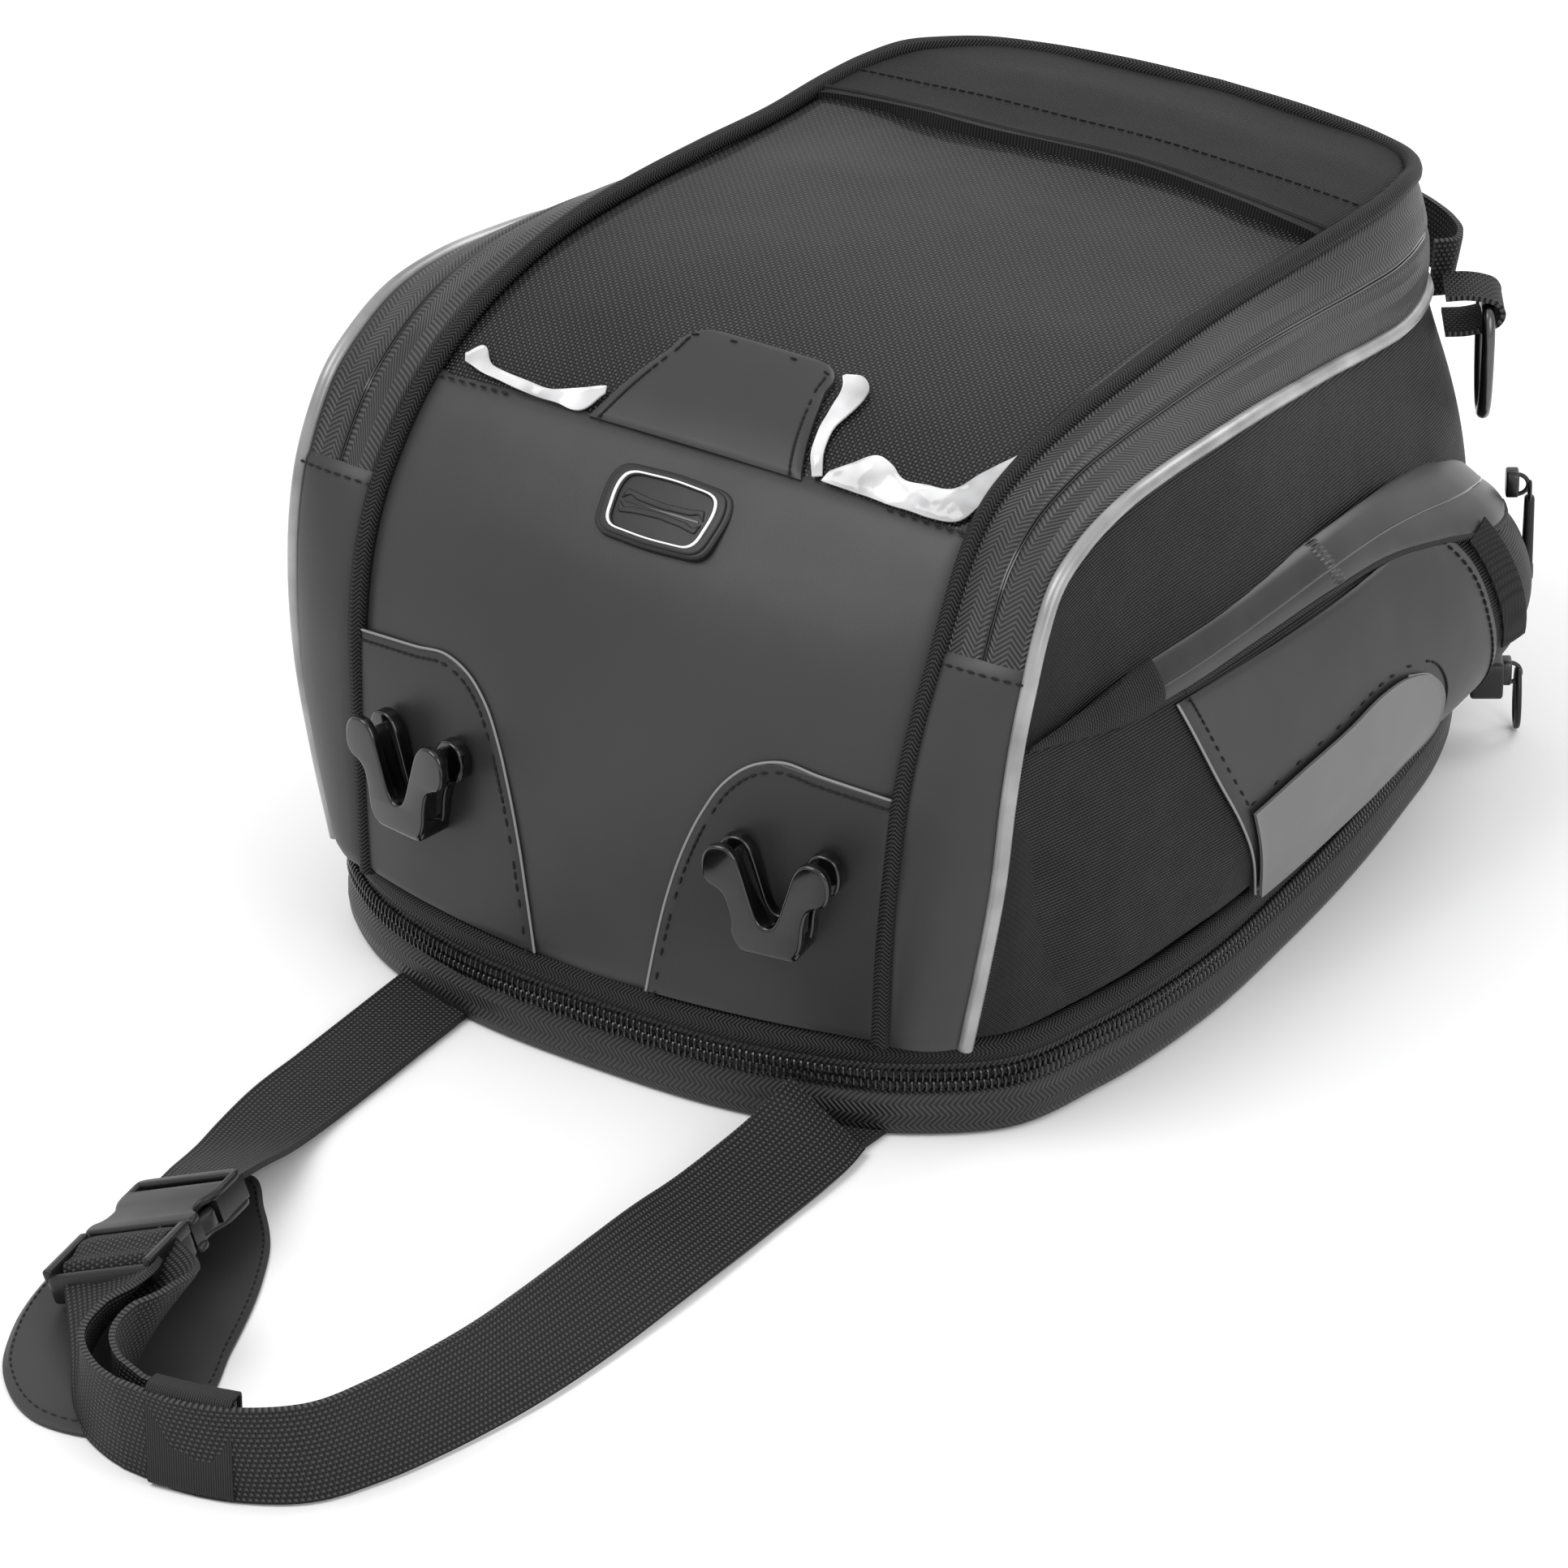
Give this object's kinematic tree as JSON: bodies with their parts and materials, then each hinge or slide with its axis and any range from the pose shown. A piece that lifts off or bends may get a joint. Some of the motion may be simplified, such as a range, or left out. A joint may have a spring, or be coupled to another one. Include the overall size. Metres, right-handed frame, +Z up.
{
  "type": "tank bag",
  "caption": "Zip-up motorcycle tank bag with a clear map window, side pockets, cargo hooks, a tank-lock socket underneath and a buckled front strap.",
  "frame": {"origin": "centre of the round tank-lock socket, on the underside", "axes": "+Z up, -Y towards the handlebars (hooks and front strap), +Y towards the rider, +X to the bike's left"},
  "size_m": [0.2788, 0.6302, 0.206],
  "materials": {
    "nylon": "woven ballistic nylon",
    "leatherette": "smooth satin leatherette",
    "woven_piping": "woven binding over a cord",
    "reflective": "silver reflective piping",
    "zip_tape": "coated zip tape",
    "zip_coil": "polyester coil",
    "zip_metal": "black enamel",
    "pull_rubber": "moulded",
    "base_plastic": "moulded, fine grain",
    "latch_plastic": "moulded red",
    "screw_steel": "zinc plated",
    "foam_board": "foam board",
    "lining": "thin nylon lining",
    "clear_vinyl": "clear vinyl over black weave",
    "rubber": "moulded",
    "hook_plastic": "polished nylon plastic",
    "ring_metal": "black nickel",
    "webbing": "ribbed webbing",
    "buckle_plastic": "acetal",
    "patch_film": "satin film"
  },
  "bodies": {
    "bag": {"bag_floor": "foam_board", "base_band": "nylon", "base_piping": "woven_piping", "base_plate": "base_plastic", "base_zip_coil": "zip_coil", "base_zip_slider": "zip_metal", "base_zip_tape": "zip_tape", "body_lining": "lining", "buckle_female": "buckle_plastic", "buckle_pad": "leatherette", "cargo_hook_left": "hook_plastic", "cargo_hook_right": "hook_plastic", "carry_handle": "webbing", "front_panel": "leatherette", "front_piping": "woven_piping", "front_strip_left": "leatherette", "front_strip_right": "leatherette", "hook_patches": "leatherette", "main_slider_left": "zip_metal", "main_slider_right": "zip_metal", "main_zip_lower": "zip_tape", "pocket_panel_left": "leatherette", "pocket_panel_right": "leatherette", "pocket_patch_left": "patch_film", "pocket_patch_right": "patch_film", "pocket_slider_left": "zip_metal", "pocket_slider_right": "zip_metal", "pocket_zip_left": "zip_tape", "pocket_zip_right": "zip_tape", "rear_wall": "nylon", "reflective_piping": "reflective", "ring_tab_left": "webbing", "ring_tab_right": "webbing", "side_pocket_left": "nylon", "side_pocket_right": "nylon", "side_wall_left": "nylon", "side_wall_right": "nylon", "socket_screws": "screw_steel", "strap_left": "webbing", "strap_right": "webbing", "tank_socket": "base_plastic"},
    "lid": {"lid_core": "foam_board", "lid_lining": "lining", "lid_leather": "leatherette", "lid_window": "clear_vinyl", "lid_rear_band": "nylon", "main_zip_upper": "zip_tape", "lid_piping": "woven_piping", "cable_port": "rubber"},
    "buckle_plug": {"buckle_male": "buckle_plastic", "strap_front": "webbing", "strap_keeper": "webbing"},
    "ring_right": {"d_ring_right": "ring_metal"},
    "ring_left": {"d_ring_left": "ring_metal"},
    "pocket_pull_right": {"pocket_pull_right": "pull_rubber"},
    "pocket_pull_left": {"pocket_pull_left": "pull_rubber"},
    "main_pull_right": {"main_pull_right": "pull_rubber"},
    "main_pull_left": {"main_pull_left": "pull_rubber"},
    "base_ring_pull": {"base_zip_ring": "zip_metal"},
    "latch": {"lock_latch": "latch_plastic"}
  },
  "joints": [
    {"name": "lid_hinge", "type": "hinge", "parent": "bag", "child": "lid", "pos_m": [0, -0.1595, 0.153], "axis": [1, 0, 0], "range_deg": [0, 95]},
    {"name": "buckle_release", "type": "slide", "parent": "bag", "child": "buckle_plug", "axis": [0.194, -0.981, 0], "range_m": [0, 0.025]},
    {"name": "ring_swing_right", "type": "hinge", "parent": "bag", "child": "ring_right", "pos_m": [0.1, 0.1466, 0.15], "axis": [0.5739, -0.8189, 0], "range_deg": [0, 110]},
    {"name": "ring_swing_left", "type": "hinge", "parent": "bag", "child": "ring_left", "pos_m": [-0.1, 0.1466, 0.15], "axis": [0.5739, 0.8189, 0], "range_deg": [0, 110]},
    {"name": "pocket_pull_swing_right", "type": "hinge", "parent": "bag", "child": "pocket_pull_right", "pos_m": [0.11371, 0.15612, 0.089], "axis": [0.5739, -0.8189, 0], "range_deg": [0, 90]},
    {"name": "pocket_pull_swing_left", "type": "hinge", "parent": "bag", "child": "pocket_pull_left", "pos_m": [-0.11371, 0.15612, 0.089], "axis": [0.5739, 0.8189, 0], "range_deg": [0, 90]},
    {"name": "main_pull_swing_right", "type": "hinge", "parent": "bag", "child": "main_pull_right", "pos_m": [0.007, 0.1594, 0.174], "axis": [1, 0, 0], "range_deg": [0, 40]},
    {"name": "main_pull_swing_left", "type": "hinge", "parent": "bag", "child": "main_pull_left", "pos_m": [-0.007, 0.1594, 0.174], "axis": [1, 0, 0], "range_deg": [0, 40]},
    {"name": "base_ring_swing", "type": "hinge", "parent": "bag", "child": "base_ring_pull", "pos_m": [0.10906, 0.16025, 0.0205], "axis": [0.5739, -0.8189, 0], "range_deg": [0, 90]},
    {"name": "latch_slide", "type": "slide", "parent": "bag", "child": "latch", "axis": [0, 1, 0], "range_m": [0, 0.0028], "stiffness_N_per_m": 400}
  ]
}
